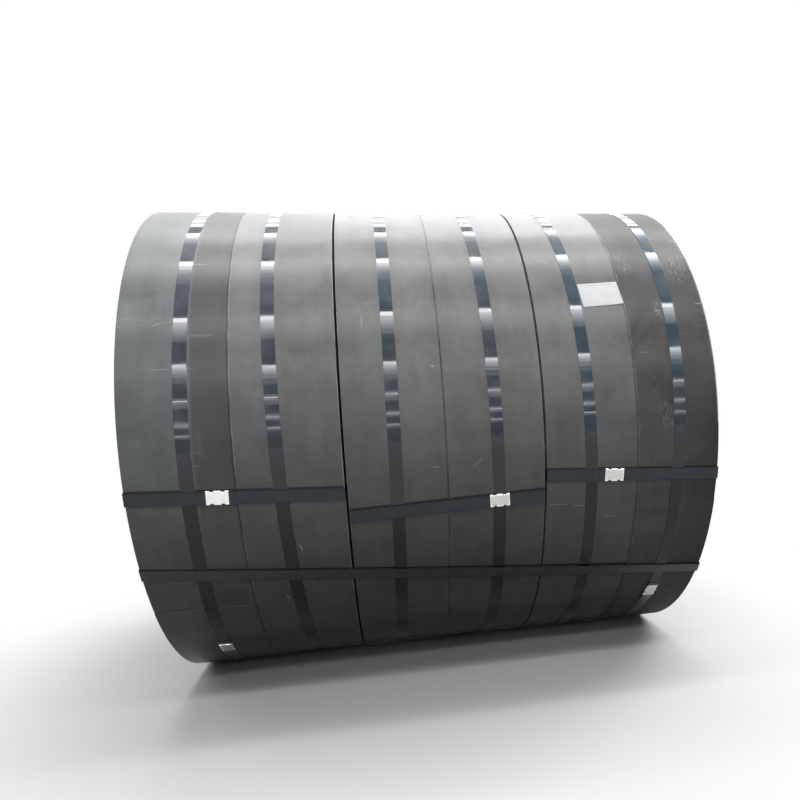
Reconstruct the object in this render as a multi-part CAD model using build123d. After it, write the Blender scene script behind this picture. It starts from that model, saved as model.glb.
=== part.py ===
from build123d import *
import math
import os

# A lot of six slit steel coils on one level axis, strapped in three pairs and once more as a lot.
# Millimetres. X runs along the axis, -Y is the front, +Z is up and the floor is Z = 0.
# Angles round the axis are in degrees: 0 at the front, 90 at the top, -90 on the floor.

COIL_R = 700.0  # outer radius, reached at the tail of the outer turn
BORE_R = 254.0  # bore that a 508 mm mandrel leaves
STRIP_T = 2.5  # strip gauge, which is the step at a tail
CUTS = (244.0, 244.0, 244.0, 244.0, 244.0, 224.0)  # widths of the six coils
SEAM = 0.4  # gap between the two coils of a pair
PAIR_GAP = 6.0  # gap between pairs
TAILS = (-37.2, -78.0, -76.0, -80.0, -77.0, -19.2)  # angle where each outer turn ends
HEAD = 128.0  # angle where every inner turn begins

TURNS_BACK = 26  # last turns wound, which sit back in each outer end of the lot
BACK_DEPTH = 1.2

STRAP_W = 32.0
STRAP_T = 0.9
STRAP_GAP = 0.2  # play between a strap and the steel under it
OVERLAP = 80.0  # length over which the two ends of a strap lie one on the other
LAP_IN = 0.3  # how far the upper end lies inside the edges of the lower one

SEAL_L = 50.0
SEAL_T = 0.9
SEAL_SIDE = 0.4  # play beside the strap in the seal
SEAL_PLAY = 0.25  # play over and under the two layers of strap in the seal
SEAL_MOUTH = 7.0  # slit between the two folded lips under the strap
NOTCH_W = 12.0  # crimp notches, two in each long edge, at their widest outside the edge
NOTCH_STEP = 25.0
NOTCH_DEPTH = 3.0
NOTCH_ANGLE = 60.0
SEAL_LIFT = 3.0  # how far a seal lifts a girth strap off the coil
END_LIFT = 1.1  # how far the long strap's seal lifts it off the right end
FLAT = 60.0  # straight run of a girth strap inside its seal

# Girth straps: middle, drift along the axis at the front and at the top, angle of the seal.
GIRTHS = (
    (-594.0, 3.3, 4.8, -53.5),
    (-376.5, -13.4, -15.6, -131.0),
    (-117.5, 1.8, 4.6, -127.0),
    (130.4, 5.1, -6.0, -134.0),
    (373.0, 2.9, -10.7, -129.0),
    (614.2, 4.6, 17.0, -46.6),
)

# Straps through the eye of each pair: angle at the left and right end, x of the seal, underside over COIL_R.
PAIRS = (
    (-10.4, -12.1, -528.0, -0.6),
    (-17.0, -15.4, 137.0, 0.4),
    (-11.3, -13.2, 438.0, -0.6),
)
LOT_ANGLES = (-26.6, -39.0)
LOT_RIDES = (-0.9, 3.0)  # underside of the long strap over COIL_R at the left and right end
LOT_SEAL_AT = 0.5  # the long strap's seal on the right end, as a share of the way from bore to outside

# The label fills the width between the fifth girth strap and the edge of its coil.
LABEL_ANGLE = 28.0
LABEL_H = 74.0
LABEL_T = 0.3
LABEL_GAP = 0.6
LABEL_CLEAR = 1.0
LABEL_TURN = 4.0

# One outer turn is two half circles about centres a quarter gauge either side of the axis.
LOW_R = COIL_R - 0.75 * STRIP_T
HIGH_R = COIL_R - 0.25 * STRIP_T
AXIS_Z = max(HIGH_R + STRAP_GAP + STRAP_T - STRIP_T / 4 * math.sin(math.radians(t)) for t in TAILS)


def polar(radius, angle):
    """Point in the plane square to the axis."""
    a = math.radians(angle)
    return Vector(-radius * math.cos(a), radius * math.sin(a))


def across(x):
    """Plane square to the axis, with Y and Z as its own x and y."""
    return Plane(origin=(x, 0, AXIS_Z), x_dir=(0, 1, 0), z_dir=(1, 0, 0))


def facing(x, angle):
    """Plane square to the axis, with its own y pointing out at the angle."""
    a = math.radians(angle)
    return Plane(origin=(x, 0, AXIS_Z), x_dir=(0, math.sin(a), math.cos(a)), z_dir=(1, 0, 0))


def prism(face, length):
    """Solid from a face square to the axis, running to the right."""
    return extrude(face, amount=length, dir=(1, 0, 0))


def turn_outline(tail, grow=0.0):
    """One turn of the strip, from the foot of the step at its tail round to the tail itself."""
    out = polar(1, tail)
    past = polar(1, tail + 90)
    low = out * (-STRIP_T / 4)
    high = out * (STRIP_T / 4)
    low_r = LOW_R + grow
    high_r = HIGH_R + grow
    first = ThreePointArc(low + out * low_r, low + past * low_r, low - out * low_r)
    second = ThreePointArc(high - out * high_r, high - past * high_r, high + out * high_r)
    step = Line(high + out * high_r, low + out * low_r)
    return make_face([first, second, step])


def strap_outline(tail, seal, grow):
    """A taut strap round one coil: it bridges the step at the tail and rises to a flat in its seal."""
    out = polar(1, tail)
    past = polar(1, tail + 90)
    low = out * (-STRIP_T / 4)
    high = out * (STRIP_T / 4)
    low_r = LOW_R + grow
    high_r = HIGH_R + grow

    def on_low(turned):
        a = math.radians(turned)
        return low + (out * math.cos(a) + past * math.sin(a)) * low_r

    def on_high(turned):
        a = math.radians(turned)
        return high + (out * math.cos(a) + past * math.sin(a)) * high_r

    crest = on_high(360)
    bridge = math.degrees(math.acos(low_r / (crest - low).length))
    middle = 360 + seal - tail
    a = math.radians(middle)
    up = out * math.cos(a) + past * math.sin(a)
    on = past * math.cos(a) - out * math.sin(a)
    top = high + up * (high_r + SEAL_LIFT)
    reach = math.hypot(high_r + SEAL_LIFT, FLAT / 2)
    ramp = math.degrees(math.atan2(FLAT / 2, high_r + SEAL_LIFT) + math.acos(high_r / reach))
    rise = top - on * (FLAT / 2)
    fall = top + on * (FLAT / 2)
    leave = middle - ramp
    land = middle + ramp
    return make_face([
        Line(crest, on_low(bridge)),
        ThreePointArc(on_low(bridge), on_low((bridge + 180) / 2), on_low(180)),
        ThreePointArc(on_low(180), on_high((180 + leave) / 2), on_high(leave)),
        Line(on_high(leave), rise),
        Line(rise, fall),
        Line(fall, on_high(land)),
        ThreePointArc(on_high(land), on_high((land + 360) / 2), crest),
    ])


def slit_coil(start, width, tail, bare_left, bare_right):
    """One coil with its bore, the step of the strip's head in the bore, and its last turns back in a bare end."""
    foot = math.degrees(math.acos(BORE_R / (BORE_R + STRIP_T)))
    head_step = make_face(Polyline(
        polar(BORE_R + STRIP_T, HEAD), polar(BORE_R, HEAD - foot), polar(0.97 * BORE_R, HEAD), close=True))
    face = turn_outline(tail) - Circle(BORE_R) - head_step
    coil = prism(across(start) * face, width)
    last_turns = turn_outline(tail, STRIP_T) - Circle(COIL_R - TURNS_BACK * STRIP_T)
    if bare_left:
        coil -= prism(across(start) * last_turns, BACK_DEPTH)
    if bare_right:
        coil -= prism(across(start + width - BACK_DEPTH) * last_turns, BACK_DEPTH)
    return coil.solid()


def lap(place):
    """Second layer of strap where the ends overlap, on a plane at the underside of the strap."""
    sunk = STRAP_T / 3
    layer = Box(OVERLAP, STRAP_W - 2 * LAP_IN, STRAP_T + sunk)
    return place * Pos(0, 0, 1.5 * STRAP_T - sunk / 2) * layer


def seal(place):
    """Folded seal round two layers of strap, crimped with notches, on a plane at the strap's underside."""
    wide = STRAP_W + 2 * (SEAL_SIDE + SEAL_T)
    inside = 2 * (STRAP_T + SEAL_PLAY)
    high = inside + 2 * SEAL_T
    section = Rectangle(wide, high) - Rectangle(wide - 2 * SEAL_T, inside)
    section -= Pos(0, -high / 2) * Rectangle(SEAL_MOUTH, 2 * SEAL_T)
    body = extrude(Plane.YZ * section, amount=SEAL_L / 2, both=True)
    notch = extrude(Trapezoid(NOTCH_W, 2 * NOTCH_DEPTH, NOTCH_ANGLE), amount=high, both=True)
    for x in (-NOTCH_STEP / 2, NOTCH_STEP / 2):
        body -= Pos(x, -wide / 2, 0) * notch
        body -= Pos(x, wide / 2, 0) * Rot(0, 0, 180) * notch
    return (place * Pos(0, 0, STRAP_T) * body).solid()


def drift(middle, front, top, angle):
    """Where the middle of a girth strap lies along the axis at an angle."""
    a = math.radians(angle)
    return middle + front * math.cos(a) + top * math.sin(a)


def girth_place(tail, middle, front, top, angle):
    """Underside of a girth strap at the middle of its seal, with x along the strap."""
    a = math.radians(angle)
    out = polar(1, angle)
    centre = polar(STRIP_T / 4, tail) + out * (HIGH_R + STRAP_GAP + SEAL_LIFT)
    x = drift(middle, front, top, angle)
    slope = (front * math.sin(a) - top * math.cos(a)) / COIL_R
    on = polar(1, angle - 90)
    return Plane(
        origin=(x, centre.X, AXIS_Z + centre.Y), x_dir=(slope, on.X, on.Y), z_dir=(0, out.X, out.Y))


def girth_strap(tail, middle, front, top, angle):
    """Strap round one coil. It drifts along the axis, so a leaning slab cuts it from a wider band."""
    reach = STRAP_W + abs(front) + abs(top)
    band = strap_outline(tail, angle, STRAP_GAP + STRAP_T) - strap_outline(tail, angle, STRAP_GAP)
    ring = prism(across(middle - reach) * band, 2 * reach)
    lean = Plane(origin=(middle, 0, AXIS_Z), z_dir=(1, front / COIL_R, -top / COIL_R))
    ring = ring & lean * Box(3 * COIL_R, 3 * COIL_R, STRAP_W)
    return (ring + lap(girth_place(tail, middle, front, top, angle))).solid()


def bowed(low, high):
    """Section of a strap that lies along the axis, bowed to the round face that it lies on."""
    half = STRAP_W / 2
    inner = math.sqrt(low ** 2 - half ** 2)
    outer = math.sqrt(high ** 2 - half ** 2)
    return make_face([
        ThreePointArc((-half, inner), (0, low), (half, inner)),
        Line((half, inner), (half, outer)),
        ThreePointArc((half, outer), (0, high), (-half, outer)),
        Line((-half, outer), (-half, inner)),
    ])


def eye_strap(left, right, angles, rides, left_gap=STRAP_GAP, right_gap=STRAP_GAP):
    """Loop along the outside, down one end, back through the bore and up the other end."""
    start = left - left_gap
    end = right + right_gap
    steps = 1 + math.ceil(abs(angles[1] - angles[0]) / 1.5)
    under = [COIL_R + ride for ride in rides]
    inside = BORE_R - STRAP_GAP - STRAP_T

    def run(low_left, low_right):
        faces = []
        for i in range(steps + 1):
            part = i / steps
            place = facing(start + part * (end - start), angles[0] + part * (angles[1] - angles[0]))
            low = low_left + part * (low_right - low_left)
            faces.append(place * bowed(low, low + STRAP_T))
        return loft(faces, ruled=True)

    def leg(x, angle, outside):
        ring = Circle(outside) - Circle(inside)
        strip = Pos(0, (outside + inside) / 2) * Rectangle(STRAP_W, outside - inside + STRAP_W)
        return prism(facing(x, angle) * (ring & strip), STRAP_T)

    strap = run(*under) + run(inside, inside)
    strap += leg(start - STRAP_T, angles[0], under[0] + STRAP_T)
    return strap + leg(end, angles[1], under[1] + STRAP_T)


def eye_place(left, right, angles, ride, x):
    """Underside of an eye strap's outer run at x, with x along the strap."""
    part = (x - left) / (right - left)
    a = math.radians(angles[0] + part * (angles[1] - angles[0]))
    slope = COIL_R * math.radians(angles[1] - angles[0]) / (right - left)
    out = Vector(0, -math.cos(a), math.sin(a))
    return Plane(
        origin=Vector(x, 0, AXIS_Z) + out * (COIL_R + ride),
        x_dir=(1, slope * math.sin(a), slope * math.cos(a)), z_dir=out)


os.makedirs("parts", exist_ok=True)
nodes = {}

gaps = (SEAM, PAIR_GAP, SEAM, PAIR_GAP, SEAM)
lot_w = sum(CUTS) + sum(gaps)
starts = [-lot_w / 2]
for cut, gap in zip(CUTS, gaps):
    starts.append(starts[-1] + cut + gap)
last = len(CUTS) - 1

for i, (cut, tail, girth) in enumerate(zip(CUTS, TAILS, GIRTHS)):
    nodes[f"slit_coil_{i + 1}"] = slit_coil(starts[i], cut, tail, i == 0, i == last)
    nodes[f"girth_strap_{i + 1}"] = girth_strap(tail, *girth)
    nodes[f"girth_seal_{i + 1}"] = seal(girth_place(tail, *girth))

for i, (left_angle, right_angle, seal_x, ride) in enumerate(PAIRS):
    left = starts[2 * i]
    right = starts[2 * i + 1] + CUTS[2 * i + 1]
    place = eye_place(left, right, (left_angle, right_angle), ride, seal_x)
    loop = eye_strap(left, right, (left_angle, right_angle), (ride, ride))
    nodes[f"pair_strap_{i + 1}"] = (loop + lap(place)).solid()
    nodes[f"pair_seal_{i + 1}"] = seal(place)

lot_gap = STRAP_GAP + END_LIFT
lot_seal = polar(BORE_R + LOT_SEAL_AT * (COIL_R - BORE_R), LOT_ANGLES[1])
lot_place = Plane(
    origin=(lot_w / 2 + lot_gap, lot_seal.X, AXIS_Z + lot_seal.Y),
    x_dir=(0, lot_seal.X, lot_seal.Y), z_dir=(1, 0, 0))
lot_loop = eye_strap(-lot_w / 2, lot_w / 2, LOT_ANGLES, LOT_RIDES, right_gap=lot_gap)
nodes["lot_strap"] = (lot_loop + lap(lot_place)).solid()
nodes["lot_seal"] = seal(lot_place)

turn = math.radians(LABEL_TURN)
label_from = drift(*GIRTHS[4][:3], LABEL_ANGLE) + STRAP_W / 2 + LABEL_CLEAR
label_to = starts[4] + CUTS[4] - LABEL_CLEAR
label_w = (label_to - label_from - LABEL_H * math.sin(turn)) / math.cos(turn)
skin = turn_outline(TAILS[4], LABEL_GAP + LABEL_T) - turn_outline(TAILS[4], LABEL_GAP)
sheet = prism(across(label_from) * skin, label_to - label_from)
out = polar(1, LABEL_ANGLE)
pad = Plane(
    origin=((label_from + label_to) / 2, out.X * COIL_R, AXIS_Z + out.Y * COIL_R),
    x_dir=(1, 0, 0), z_dir=(0, out.X, out.Y))
nodes["paper_label"] = (sheet & pad * Rot(0, 0, LABEL_TURN) * Box(label_w, LABEL_H, LABEL_H)).solid()

for name, solid in nodes.items():
    export_step(solid, f"parts/{name}.step")
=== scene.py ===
from math import acos, atan2, cos, degrees, hypot, pi, radians, sin, tan

import bmesh
import bpy
import numpy as np
from mathutils import Matrix


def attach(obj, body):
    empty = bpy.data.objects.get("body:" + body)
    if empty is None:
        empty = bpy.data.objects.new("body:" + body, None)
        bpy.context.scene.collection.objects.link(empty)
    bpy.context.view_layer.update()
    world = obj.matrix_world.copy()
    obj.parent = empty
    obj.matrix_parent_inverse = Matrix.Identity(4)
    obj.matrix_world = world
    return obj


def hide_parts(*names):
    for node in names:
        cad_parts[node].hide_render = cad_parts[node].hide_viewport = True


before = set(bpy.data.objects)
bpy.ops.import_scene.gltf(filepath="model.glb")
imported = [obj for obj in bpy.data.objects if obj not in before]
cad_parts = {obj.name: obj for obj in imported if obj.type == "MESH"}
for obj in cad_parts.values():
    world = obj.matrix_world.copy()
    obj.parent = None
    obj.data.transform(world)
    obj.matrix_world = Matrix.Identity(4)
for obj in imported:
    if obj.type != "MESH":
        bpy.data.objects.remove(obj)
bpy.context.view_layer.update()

scene = bpy.context.scene
scene.view_settings.view_transform = "Standard"

# Sizes in millimetres, as the solids have them. Angles in degrees round the axis: 0 front, 90 top.
COIL_R, BORE_R, STRIP_T = 700.0, 254.0, 2.5
CUTS = (244.0, 244.0, 244.0, 244.0, 244.0, 224.0)
TAILS = (-37.2, -78.0, -76.0, -80.0, -77.0, -19.2)
HEAD = 128.0
TURNS_BACK, BACK_DEPTH = 26, 1.2
STRAP_W, STRAP_T, STRAP_GAP = 32.0, 0.9, 0.2
OVERLAP, SEAL_LIFT, END_LIFT, FLAT = 80.0, 3.0, 1.1, 60.0
SEAL_L, SEAL_T, SEAL_SIDE, SEAL_PLAY, SEAL_MOUTH = 50.0, 0.9, 0.4, 0.25, 7.0
NOTCH_STEP, NOTCH_DEPTH = 25.0, 3.0
# Girth straps: middle, lean at the front, lean at the top, angle of the seal.
GIRTHS = (
    (-594.0, 3.3, 4.8, -53.5),
    (-376.5, -13.4, -15.6, -131.0),
    (-117.5, 1.8, 4.6, -127.0),
    (130.4, 5.1, -6.0, -134.0),
    (373.0, 2.9, -10.7, -129.0),
    (614.2, 4.6, 17.0, -46.6),
)
# Straps round a pair: angle at the left, angle at the right, x of the seal, how far it rides off the coil.
PAIRS = (
    (-10.4, -12.1, -528.0, -0.6),
    (-17.0, -15.4, 137.0, 0.4),
    (-11.3, -13.2, 438.0, -0.6),
)
LOT_ANGLES, LOT_RIDES, LOT_SEAL_AT = (-26.6, -39.0), (-0.9, 3.0), 0.5
LABEL_ANGLE, LABEL_H, LABEL_T, LABEL_GAP, LABEL_CLEAR, LABEL_TURN = 28.0, 74.0, 0.3, 0.6, 1.0, 4.0
LOW_R = COIL_R - 0.75 * STRIP_T
HIGH_R = COIL_R - 0.25 * STRIP_T
AXIS_Z = max(HIGH_R + STRAP_GAP + STRAP_T - STRIP_T / 4 * sin(radians(t)) for t in TAILS)
GAPS = (0.4, 6.0, 0.4, 6.0, 0.4)
LOT_W = sum(CUTS) + sum(GAPS)
STARTS = [-LOT_W / 2]
for cut, gap in zip(CUTS, GAPS):
    STARTS.append(STARTS[-1] + cut + gap)
# Degrees that the bore takes to rise over the strip's head, and the slope of a strap's end beside its seal.
HEAD_RISE = degrees(acos(BORE_R / (BORE_R + STRIP_T)))
LAP_SLOPE = tan(radians(5.8))
# Steps round the meshes, seeds, and the four borders of a grid.
COIL_STEPS, STRAP_STEPS = 216, 300
WALK_SEED, GRAIN_SEED = 11, 40
BORDERS = (np.s_[0, :], np.s_[-1, :], np.s_[:, 0], np.s_[:, -1])


# ---- shapes

def outer_r(phi, grow=0.0):
    """Radius of a coil's outer turn, phi degrees on from its tail."""
    p = np.radians(phi)
    c = np.where(phi <= 180, -STRIP_T / 4, STRIP_T / 4)
    r = np.where(phi <= 180, LOW_R, HIGH_R) + grow
    return c * np.cos(p) + np.sqrt(r ** 2 - (c * np.sin(p)) ** 2)


def bore_r(theta):
    """Radius of the bore, with the step at the strip's head."""
    back = (HEAD - theta) % 360
    dip = BORE_R / np.cos(np.radians(np.clip(HEAD_RISE - back, 0, HEAD_RISE)))
    return np.where(back < HEAD_RISE, dip, BORE_R)


def at(x, r, theta):
    """Points in metres from places along, out from and round the axis."""
    x, r, theta = np.broadcast_arrays(x, r, theta)
    t = np.radians(theta)
    return np.stack([x, -r * np.cos(t), AXIS_Z + r * np.sin(t)], -1) / 1000


def unit(v):
    return v / np.linalg.norm(v)


def seat_axes(origin, x_dir, z_dir):
    """A seat's origin and its unit axes: along the strap, across it, outwards."""
    x_dir, z_dir = unit(x_dir), unit(z_dir)
    return np.array(origin), x_dir, np.cross(z_dir, x_dir), z_dir


def pair_ends(i):
    """The left and right faces of pair i."""
    return STARTS[2 * i], STARTS[2 * i + 1] + CUTS[2 * i + 1]


def between(x, left, right, angles):
    """Angle at x of a strap that leans from one end to the other."""
    return angles[0] + (x - left) / (right - left) * (angles[1] - angles[0])


def smooth_walk(n, seed, reach):
    """A smooth random line of n values from 0 to 1."""
    rng = np.random.default_rng(seed)
    raw = rng.normal(size=n + 4 * reach)
    k = np.hanning(2 * reach + 1)
    line = np.convolve(raw, k / k.sum(), mode="same")[2 * reach:2 * reach + n]
    return (line - line.min()) / (line.max() - line.min())


class Sheet:
    """Collects grids of points into one mesh, with a texture place in metres (along the axis, along the strip)."""

    def __init__(self):
        self.verts, self.faces, self.uvs, self.mats, self.count = [], [], [], [], 0

    def grid(self, points, uv, mat=0, close=False):
        rows, cols = points.shape[:2]
        index = self.count + np.arange(rows * cols).reshape(rows, cols)
        self.verts.append(points.reshape(-1, 3))
        self.count += rows * cols
        if close:
            index = np.concatenate([index, index[:, :1]], 1)
            uv = np.concatenate([uv, uv[:, :1]], 1)
        quads = np.stack([index[:-1, :-1], index[:-1, 1:], index[1:, 1:], index[1:, :-1]], -1).reshape(-1, 4)
        places = np.stack([uv[:-1, :-1], uv[:-1, 1:], uv[1:, 1:], uv[1:, :-1]], -2).reshape(-1, 4, 2)
        self.faces.append(quads)
        self.uvs.append(places)
        self.mats.append(np.broadcast_to(mat, len(quads)))

    def build(self, name, materials, sharp=35.0, weld=2e-6):
        mesh = bpy.data.meshes.new(name)
        faces = np.concatenate(self.faces)
        mesh.from_pydata(np.concatenate(self.verts).tolist(), [], faces.tolist())
        layer = mesh.uv_layers.new(name="strip")
        layer.data.foreach_set("uv", np.concatenate(self.uvs).reshape(-1).astype(np.float32))
        mesh.polygons.foreach_set("material_index", np.concatenate(self.mats).astype(np.int32))
        bm = bmesh.new()
        bm.from_mesh(mesh)
        bmesh.ops.remove_doubles(bm, verts=bm.verts[:], dist=weld)
        bmesh.ops.dissolve_degenerate(bm, edges=bm.edges[:], dist=weld)
        bmesh.ops.recalc_face_normals(bm, faces=bm.faces[:])
        bm.to_mesh(mesh)
        bm.free()
        mesh.shade_smooth()
        mesh.set_sharp_from_angle(angle=radians(sharp))
        for m in materials:
            mesh.materials.append(m)
        obj = bpy.data.objects.new(name, mesh)
        scene.collection.objects.link(obj)
        return obj


def slit_coil(i, materials):
    """One coil: its round side with the tail step, rolled slit edges, and the wound turns on a bare end."""
    tail, x0, width = TAILS[i], STARTS[i], CUTS[i]
    head = (HEAD - tail) % 360
    bends = [head - HEAD_RISE, head - 0.03, head + 0.03, 180.0, 180.0 - tail]
    phi = np.unique(np.concatenate([np.linspace(0, 360, COIL_STEPS + 1), bends]))
    theta = tail + phi
    r_out, r_in = outer_r(phi), bore_r(theta)
    turns = int((COIL_R - BORE_R) / STRIP_T) + 4
    walk = smooth_walk(turns * 4, WALK_SEED + i, 9)
    jitter = np.random.default_rng(GRAIN_SEED + i).random(turns * 4)

    def set_back(r, bare=True):
        """How far the turns of a bare end lie behind its face."""
        if not bare:
            return np.zeros_like(r)
        u = np.clip((COIL_R - r) / STRIP_T, 0, turns - 2)
        k = np.clip(u * 4, 0, turns * 4 - 2)
        f = k - np.floor(k)
        k = np.floor(k).astype(int)
        sway = walk[k] * (1 - f) + walk[k + 1] * f
        grain = jitter[np.clip(np.floor(u).astype(int) * 4, 0, turns * 4 - 1)]
        step = 1 / (1 + np.exp(-(TURNS_BACK - u) / 0.35))
        return 0.06 + BACK_DEPTH * step + 0.55 * sway + 0.16 * grain

    left_back, right_back = set_back(r_out, i == 0), set_back(r_out, i == 5)
    sheet = Sheet()

    def place(x, th):
        return np.stack(np.broadcast_arrays(x / 1000, COIL_R * np.radians(th) / 1000), -1)

    # Round side, in two runs so that the texture place has no jump in a face.
    edge = np.array([0.0, 0.1, 0.4, 1.4])
    drop = np.array([0.42, 0.13, 0.0, 0.0])
    inner = np.linspace(edge[-1], width - edge[-1], 15)[1:-1]
    across = np.concatenate([edge, inner, width - edge[::-1]])[:, None]
    down = np.concatenate([drop, np.zeros_like(inner), drop[::-1]])[:, None]
    share = across / width
    x = x0 + across + left_back * (1 - share) - right_back * share
    points = at(x, r_out - down, theta)
    split = int(np.searchsorted(theta, 180.0))
    for a, b, turn in ((0, split + 1, 0), (split, len(phi), -360)):
        sheet.grid(points[:, a:b], place(x[:, a:b], theta[a:b] + turn))
    rim = np.stack([points[:, -1], points[:, 0]], 1)
    sheet.grid(rim, place(x[:, :2], np.array([[tail, tail]])))

    # Ends.
    rims = []
    for face, sign, bare, back in ((x0, 1, i == 0, left_back), (x0 + width, -1, i == 5, right_back)):
        if bare:
            rows = 2 * turns
            m = np.arange(rows)[:, None]
            radius = r_out - m * STRIP_T / 2
            radius[0] -= drop[0]
            low = radius <= r_in + 0.05
            radius = np.where(low, r_in, radius)
            depth = set_back(np.where(m % 2 == 0, radius - STRIP_T / 2, radius))
            depth = depth + np.where((m % 2 == 0) & (m > 0), 0.55, 0.0)
            depth[0] = back
            shut = set_back(r_in)
            depth = np.where(low, shut, depth)
            rims.append(face + sign * shut)
        else:
            t = np.linspace(1, 0, 7)[:, None]
            radius = r_in + (r_out - drop[0] - r_in) * t
            depth = np.zeros_like(radius)
            rims.append(np.full_like(r_in, face))
        uv = np.stack([radius, COIL_R * np.radians(theta) + 0 * radius], -1) / 1000
        sheet.grid(at(face + sign * depth, radius, theta), uv, 1)

    # Bore.
    t = np.linspace(0, 1, 6)[:, None]
    bx = rims[0] * (1 - t) + rims[1] * t
    sheet.grid(at(bx, r_in, theta), place(bx, theta), 2)
    return sheet.build(f"coil_{i + 1}", materials)


# The section of a strap: across, up. It is a little thinner than the solid.
EDGE, THINNER = 0.28, 0.86
FACE = STRAP_W / 2 - EDGE
SECTION = np.array([
    (-FACE, 0.0), (-FACE + 0.3, 0.0), (0.0, 0.0), (FACE - 0.3, 0.0), (FACE, 0.0),
    (STRAP_W / 2 - 0.06, 0.1), (STRAP_W / 2, 0.32), (STRAP_W / 2, 0.58), (STRAP_W / 2 - 0.06, 0.8),
    (FACE, STRAP_T), (FACE - 0.3, STRAP_T), (0.0, STRAP_T), (-FACE + 0.3, STRAP_T), (-FACE, STRAP_T),
    (-STRAP_W / 2 + 0.06, 0.8), (-STRAP_W / 2, 0.58), (-STRAP_W / 2, 0.32), (-STRAP_W / 2 + 0.06, 0.1),
])
SECTION[:, 1] = STRAP_T / 2 + (SECTION[:, 1] - STRAP_T / 2) * THINNER
# Places along a seal where the strap's width changes, and its width between them.
PINCHES, PINCHED_W = np.array((-24.5, -22.5, 22.5, 24.5)), 26.2


def pinch(along):
    """A strap's width in its seal, where the crimps have pressed its edges in, as a share of its full width."""
    return np.interp(np.abs(along), PINCHES[2:], (PINCHED_W / STRAP_W, 1.0))


def taut_r(tail, seal, theta, grow):
    """Radius of a taut strap's line round a coil: over the step at the tail and up to a flat in its seal."""
    phi = (theta - tail) % 360
    low_c, high_c = -STRIP_T / 4, STRIP_T / 4
    low_r, high_r = LOW_R + grow, HIGH_R + grow
    r = outer_r(phi, grow)
    crest = high_c + high_r
    bridge = degrees(acos(low_r / (crest - low_c)))

    def line(a, b):
        """Radius to the line through two points given as (along the tail's direction, square to it)."""
        d = (b[0] - a[0], b[1] - a[1])
        p = np.radians(phi)
        return (a[0] * d[1] - a[1] * d[0]) / (np.cos(p) * d[1] - np.sin(p) * d[0])

    def on(c, rad, turned):
        a = radians(turned)
        return (c + rad * cos(a), rad * sin(a))

    middle = 360 + seal - tail
    a = radians(middle)
    up, along = (cos(a), sin(a)), (-sin(a), cos(a))
    top = (high_c + up[0] * (high_r + SEAL_LIFT), up[1] * (high_r + SEAL_LIFT))
    reach = hypot(high_r + SEAL_LIFT, FLAT / 2)
    ramp = degrees(atan2(FLAT / 2, high_r + SEAL_LIFT) + acos(high_r / reach))
    rise = (top[0] - along[0] * FLAT / 2, top[1] - along[1] * FLAT / 2)
    fall = (top[0] + along[0] * FLAT / 2, top[1] + along[1] * FLAT / 2)

    def angle(p):
        return degrees(atan2(p[1], p[0])) % 360

    leave, land = on(high_c, high_r, middle - ramp), on(high_c, high_r, middle + ramp)
    foot = on(low_c, low_r, bridge)
    bends = (foot, leave, rise, fall, land)
    marks = [angle(b) for b in bends]
    r = np.where(phi <= marks[0], line((crest, 0.0), foot), r)
    for k in (1, 2, 3):
        r = np.where((phi >= marks[k]) & (phi <= marks[k + 1]), line(bends[k], bends[k + 1]), r)
    return r, [m + tail for m in marks] + [tail]


def drift(middle, front, top, theta):
    """Place along the axis of a girth strap that leans."""
    t = np.radians(theta)
    return middle + front * np.cos(t) + top * np.sin(t)


def lap(sheet, seat, slack):
    """The strap's upper end, where the two ends overlap, in millimetres on a seat under the strap."""
    half = OVERLAP / 2
    along = np.array([-half, 0.15 - half, -36, -32, -28, *PINCHES[:2], -10,
                      10, *PINCHES[2:], 28, 32, 36, half - 0.15, half])
    origin, x_dir, y_dir, z_dir = seat_axes(*seat)
    sink = -np.maximum(np.abs(along) - FLAT / 2, 0) * slack
    thin = np.ones_like(along)
    thin[[0, -1]] = 0.7
    ring = SECTION * np.array([1 - 0.6 / STRAP_W, 1.0])
    y = ring[:, 0] * pinch(along)[:, None]
    z = STRAP_T + 0.02 + sink[:, None] + (ring[:, 1] - STRAP_T / 2) * thin[:, None] + STRAP_T / 2
    points = origin + along[:, None, None] * x_dir + y[..., None] * y_dir + z[..., None] * z_dir
    uv = np.stack([np.broadcast_to(ring[:, 0], y.shape), along[:, None] + 0 * y], -1) / 1000
    sheet.grid(points / 1000, uv, close=True)
    for k in (0, -1):
        cap = np.stack([points[k, [0, 1, 2, 3, 4]], points[k, [13, 12, 11, 10, 9]]]) / 1000
        sheet.grid(cap, np.zeros(cap.shape[:2] + (2,)))
        for side in ([4, 5, 6, 7, 8, 9], [13, 14, 15, 16, 17, 0]):
            pts = points[k, side] / 1000
            sheet.grid(np.stack([pts[[0, 1, 2]], pts[[5, 4, 3]]]), np.zeros((2, 3, 2)))


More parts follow.
